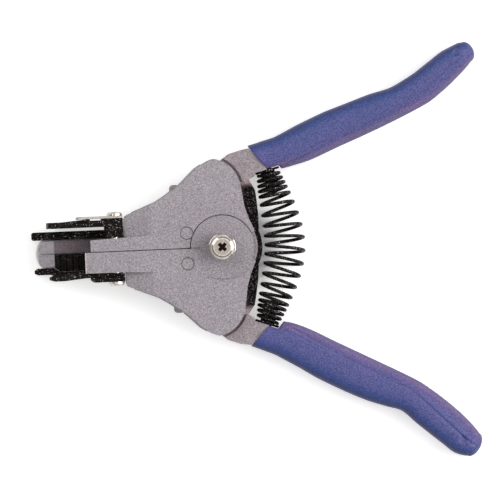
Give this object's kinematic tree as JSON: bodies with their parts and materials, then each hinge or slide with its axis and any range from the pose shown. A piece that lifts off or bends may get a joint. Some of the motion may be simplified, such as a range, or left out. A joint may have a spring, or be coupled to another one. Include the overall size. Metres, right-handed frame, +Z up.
{
  "type": "automatic wire stripper",
  "caption": "Hand tool that grips a wire, cuts its insulation and pulls it off: two sprung handles, a gripping jaw, a cutting jaw and a pivot screw.",
  "frame": {"origin": "on the main pivot's axis, in the plane that the tool lies on", "axes": "+X from the jaws towards the handles along the jaws' middle line, +Y towards the cutting side, +Z up along the main pivot towards the screw head"},
  "size_m": [0.1651, 0.1514, 0.0285],
  "materials": {
    "casting": "matt cast",
    "grip": "satin dipped vinyl",
    "blued_steel": "black oxide, oiled",
    "nickel": "nickel plate",
    "steel": "turned"
  },
  "bodies": {
    "gripper_frame": {"frame_gripper": "casting", "grip_sleeve_gripper": "grip", "pivot_sleeve_nut": "nickel", "pivot_screw": "nickel", "screw_washer": "nickel", "cross_pin_gripper": "steel", "wire_pad_lower": "blued_steel", "gripper_plate_lower": "blued_steel", "gripper_screw_lower": "nickel", "spring_seat_gripper": "blued_steel", "main_spring": "blued_steel", "hold_down_spring": "steel"},
    "cutter_frame": {"frame_cutter": "casting", "grip_sleeve_cutter": "grip", "cross_pin_cutter": "steel", "wire_guide_lower": "blued_steel", "blade_spacer_lower": "blued_steel", "cutter_blade_lower": "blued_steel", "cutter_screw_lower": "nickel", "spring_seat_cutter": "blued_steel"},
    "gripper_lever": {"lever_gripper": "casting", "gripper_plate_upper": "blued_steel", "gripper_clamp_upper": "blued_steel", "gripper_screw_upper": "nickel", "flush_pin_gripper": "steel"},
    "cutter_lever": {"lever_cutter": "casting", "cutter_spacer_upper": "blued_steel", "cutter_blade_upper": "blued_steel", "blade_backing_upper": "blued_steel", "clamp_strip_upper": "steel", "cutter_screw_upper": "nickel", "flush_pin_cutter": "steel", "hub_washer": "steel"},
    "lift_ring": {"lift_ring": "steel"}
  },
  "joints": [
    {"name": "handle_squeeze", "type": "hinge", "parent": "gripper_frame", "child": "cutter_frame", "pos_m": [0, 0, 0], "axis": [0, 0, -1], "range_deg": [0, 36], "stiffness_Nm_per_rad": 0.6, "springref_deg": -28.65, "deforming": ["main_spring"]},
    {"name": "gripper_jaw_close", "type": "hinge", "parent": "gripper_frame", "child": "gripper_lever", "pos_m": [-0.0167, 0, 0.0115], "axis": [0, -1, 0], "range_deg": [0, 8], "stiffness_Nm_per_rad": 0.6, "springref_deg": -20.05, "deforming": ["hold_down_spring"]},
    {"name": "cutter_jaw_close", "type": "hinge", "parent": "cutter_frame", "child": "cutter_lever", "pos_m": [-0.0167, 0, 0.0115], "axis": [0, -1, 0], "range_deg": [0, 8]},
    {"name": "lift_ring_rise", "type": "slide", "parent": "gripper_frame", "child": "lift_ring", "axis": [0, 0, 1], "range_m": [0, 0.0021]}
  ],
  "couplings": [
    {"joint": "cutter_jaw_close", "follows": "gripper_jaw_close", "ratio": 1},
    {"joint": "lift_ring_rise", "follows": "gripper_jaw_close", "m_per_rad": 0.015}
  ]
}
